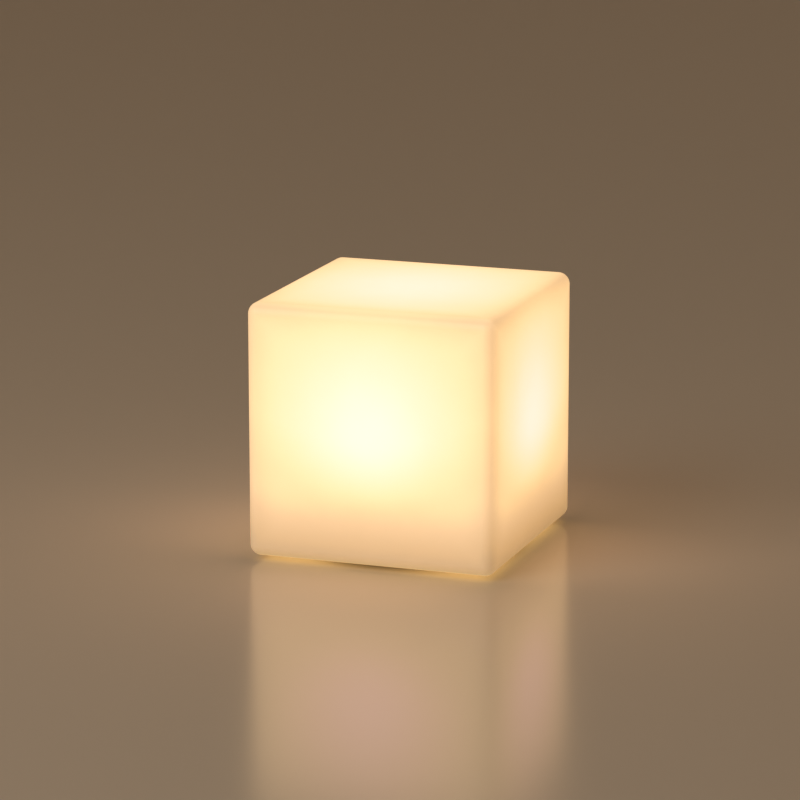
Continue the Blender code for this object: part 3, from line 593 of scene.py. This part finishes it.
def make_dome(mat):
    """The frosted cover: flange with a rounded rim, upright wall and low elliptical dome."""
    flange_low = DOME_LOW.z
    flange_top = flange_low + 2.4 * MM
    spring_line = flange_top + 2.0 * MM
    rise = DOME_HIGH.z - spring_line
    wall = 41.0 * MM
    skin = 2.0 * MM
    fillet = 1.0 * MM
    rim_radius = 0.6 * MM
    flange = DOME_HIGH.x
    steps = 20
    outside = []
    inside = []
    for step in range(steps + 1):
        angle = pi / 2 * (1 - step / steps)
        outside.append((wall * cos(angle), spring_line + rise * sin(angle)))
        inside.append(((wall - skin) * cos(angle), spring_line + (rise - skin) * sin(angle)))
    rim = []
    root = []
    for step in range(5):
        angle = pi / 2 * (1 - step / 4)
        rim.append((flange - rim_radius * (1 - cos(angle)), flange_top - rim_radius * (1 - sin(angle))))
        angle = pi / 2 * step / 4
        root.append((wall + fillet * (1 - cos(angle)), flange_top + fillet * (1 - sin(angle))))
    profile = [*outside, *root, *rim, (flange, flange_low), (wall - skin, flange_low), *reversed(inside)]
    dome = turned("light_dome", profile, 96, mat)
    tools = []
    for quarter in range(4):
        hole = drum(f"dome_hole_{quarter}", DOME_SCREW_HOLE, flange_low - MM, flange_top + MM, 24)
        hole.location = DOME_SCREW_RADIUS * corner_direction(quarter)
        tools.append(hole)
    carve(dome, *tools)
    shade(dome)
    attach(dome, "light_module")
    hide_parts("diffuser_dome")
    return dome


def split_arcs(bm, centre, near, far, widest):
    """Splits the short edges that run round an upright axis, puts the new points on the true circle, and
    divides each wall between two split edges."""
    fresh = set()
    for edge in list(bm.edges):
        a, b = (vert.co.xy - centre for vert in edge.verts)
        if min(a.length, b.length) < near or max(a.length, b.length) > far:
            continue
        if not radians(0.3) < abs(a.angle_signed(b)) < widest:
            continue
        out = (a.normalized() + b.normalized()).normalized() * (a.length + b.length) / 2
        height = (edge.verts[0].co.z + edge.verts[1].co.z) / 2
        vert = bmesh.utils.edge_split(edge, edge.verts[0], 0.5)[1]
        vert.co = (*(centre + out), height)
        fresh.add(vert)
    bm.normal_update()
    for face in list(bm.faces):
        ends = [vert for vert in face.verts if vert in fresh]
        if len(ends) == 2 and abs(face.normal.z) < 0.99:
            a, b = (vert.co.xy - centre for vert in ends)
            if abs(a.angle_signed(b)) < radians(0.1):
                bmesh.utils.face_split(face, *ends)
    bm.normal_update()


def make_round(name, body, materials, *circles):
    """A copy of a CAD node with four times as many sides on its circles.

    Each circle is its centre, the least and greatest distance from it in millimetres at which edges are
    split, and its number of sides.
    """
    bm = bmesh.new()
    bm.from_mesh(frame["nodes"][name].data)
    bmesh.ops.remove_doubles(bm, verts=bm.verts, dist=SAME_PLACE)
    bmesh.ops.dissolve_degenerate(bm, edges=bm.edges, dist=SHORTEST_EDGE)
    bmesh.ops.dissolve_limit(bm, angle_limit=radians(SAME_PLANE), verts=bm.verts, edges=bm.edges)
    for centre, near, far, sides in circles:
        for step in (1, 2):
            split_arcs(bm, Vector(centre), near * MM, far * MM, radians(1.5 * 360 / sides) / step)
    bmesh.ops.triangulate(bm, faces=[face for face in bm.faces if bent(face)])
    bmesh.ops.remove_doubles(bm, verts=bm.verts, dist=SAME_PLACE)
    copy = new_object(f"{name}_round", bm, materials[SLOTS[name]])
    soften(copy)
    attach(copy, body)
    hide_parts(name)


def bent(face):
    """True when the points of a face do not lie in one plane."""
    middle = face.calc_center_median()
    return max(abs((vert.co - middle).dot(face.normal)) for vert in face.verts) > SAME_PLACE


def make_round_pieces(materials):
    """Finer copies of the pieces whose flat sides would show: 48 or fewer in the CAD model."""
    middle = (0, 0)
    big = (middle, 15, 500, 48)
    jack = middle_of("jack_pin")
    status = middle_of("status_light_pipe")
    anchor = middle_of("cover_anchor")
    make_round("module_housing", "light_module", materials, (middle, 1, 9, 24), (jack, 0.5, 4.6, 12),
               (status, 0.5, 2.2, 12), (anchor, 0.5, 1.8, 12), big)
    for name in ("foot_ring", "led_tray", "led_board"):
        make_round(name, "light_module", materials, big)
    make_round("dome_gasket", "light_module", materials, (middle, 15, 500, 24))
    for name in ("neck_ring", "clamp_ring"):
        make_round(name, "shell", materials, big)
    make_round("neck_gasket", "neck_gasket", materials, big)
    make_round("power_button", "power_button", materials, (middle, 1, 10, 24))
    make_round("port_cover", "port_cover", materials, (jack, 1, 6.6, 24))
    make_round("charge_jack", "light_module", materials, (jack, 1, 3.95, 20))
    make_round("cover_anchor", "light_module", materials, (anchor, 0.3, 2.4, 12))
    make_round("status_light_pipe", "light_module", materials, (status, 0.3, 2.7, 12))
    for kind, body in (("dome_screw", "light_module"), ("neck_screw", "shell")):
        for index in range(1, 5):
            name = f"{kind}_{index}"
            make_round(name, body, materials, (middle_of(name), 1.6, 3, 10))


def middle_of(name):
    low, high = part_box(name)
    return ((low + high) / 2).xy


def soften(obj):
    """Smooth shading with slightly rounded edges, less round on thin pieces; only creases where any rounding
    would leave slivers."""
    obj.data.shade_smooth()
    edges = obj.modifiers.new("Edges", "BEVEL")
    edges.limit_method = "ANGLE"
    edges.angle_limit = radians(40)
    edges.segments = 2
    for width in (SOFT_EDGE, SOFT_EDGE / 3, SOFT_EDGE / 10):
        edges.width = width
        tried = evaluated(obj).to_mesh()
        if min(face.area for face in tried.polygons) > SLIVER:
            break
    else:
        obj.modifiers.remove(edges)
        obj.data.set_sharp_from_angle(angle=radians(32))
    add_weld(obj, "Clean")
    even_normals(obj)


def dress_nodes(materials):
    """Every CAD node keeps its shape and gets its slot's material, softened edges and smooth shading."""
    for name, obj in frame["nodes"].items():
        obj.data.materials.clear()
        obj.data.materials.append(materials[SLOTS[name]])
        add_weld(obj, "Weld")
        flat = obj.modifiers.new("Flat", "DECIMATE")
        flat.decimate_type = "DISSOLVE"
        flat.angle_limit = radians(SAME_PLANE)
        soften(obj)


# ---------------------------------------------------------------- stage

def make_floor():
    """A plain pale satin floor whose far rim curves up into an even backdrop all round."""
    flat = 5.0
    curve = 2.0
    wall_top = 6.0
    profile = [(0.0, 0.0), (1.0, 0.0), (flat, 0.0)]
    profile += [(flat + curve * sin(radians(a)), curve * (1 - cos(radians(a)))) for a in range(10, 91, 10)]
    profile.append((flat + curve, wall_top))
    made = Material("pale_floor", (0.82, 0.71, 0.58), 0.19)
    made.set("IOR", 1.6)
    floor = turned("floor", profile, 64, made.done())
    floor.data.shade_smooth()


def make_light(name, azimuth, elevation, distance, size, power, color):
    data = bpy.data.lights.new(name, "AREA")
    data.shape = "DISK"
    data.size = size
    data.energy = power
    data.color = color
    aim(bpy.data.objects.new(name, data), azimuth, elevation, distance)


def direction(azimuth, elevation):
    """The way from the cube to a place round it; azimuth 0 is in front of the cube, at -Y."""
    a = radians(azimuth)
    e = radians(elevation)
    return Vector((sin(a) * cos(e), -cos(a) * cos(e), sin(e)))


def aim(obj, azimuth, elevation, distance):
    """Puts a light or camera into the scene, looking at the middle of the cube."""
    back = direction(azimuth, elevation)
    obj.location = SHELL_MIDDLE + back * distance
    obj.rotation_euler = (-back).to_track_quat("-Z", "Y").to_euler()
    bpy.context.scene.collection.objects.link(obj)


def make_camera():
    data = bpy.data.cameras.new("camera")
    data.sensor_width = 36.0
    data.lens = VIEW_LENS
    data.shift_x, data.shift_y = VIEW_SHIFT
    data.clip_end = 50.0
    camera = bpy.data.objects.new("camera", data)
    aim(camera, VIEW_AZIMUTH, VIEW_ELEVATION, VIEW_DISTANCE)
    bpy.context.scene.camera = camera


def make_world():
    world = bpy.data.worlds.new("studio")
    world.use_nodes = True
    background = world.node_tree.nodes["Background"]
    background.inputs["Color"].default_value = (1.0, 0.83, 0.66, 1.0)
    background.inputs["Strength"].default_value = 0.20
    bpy.context.scene.world = world


bpy.context.scene.view_settings.view_transform = "Standard"
bpy.context.scene.view_settings.look = "None"

make_camera()
make_world()
make_light("soft_key", -30, 34, 3.0, 2.2, 18.0, (1.0, 0.91, 0.80))
make_floor()
MATERIALS = slot_materials()
dress_nodes(MATERIALS)
make_shell(MATERIALS["milky_shell"])
make_dome(MATERIALS["frosted_cover"])
make_round_pieces(MATERIALS)
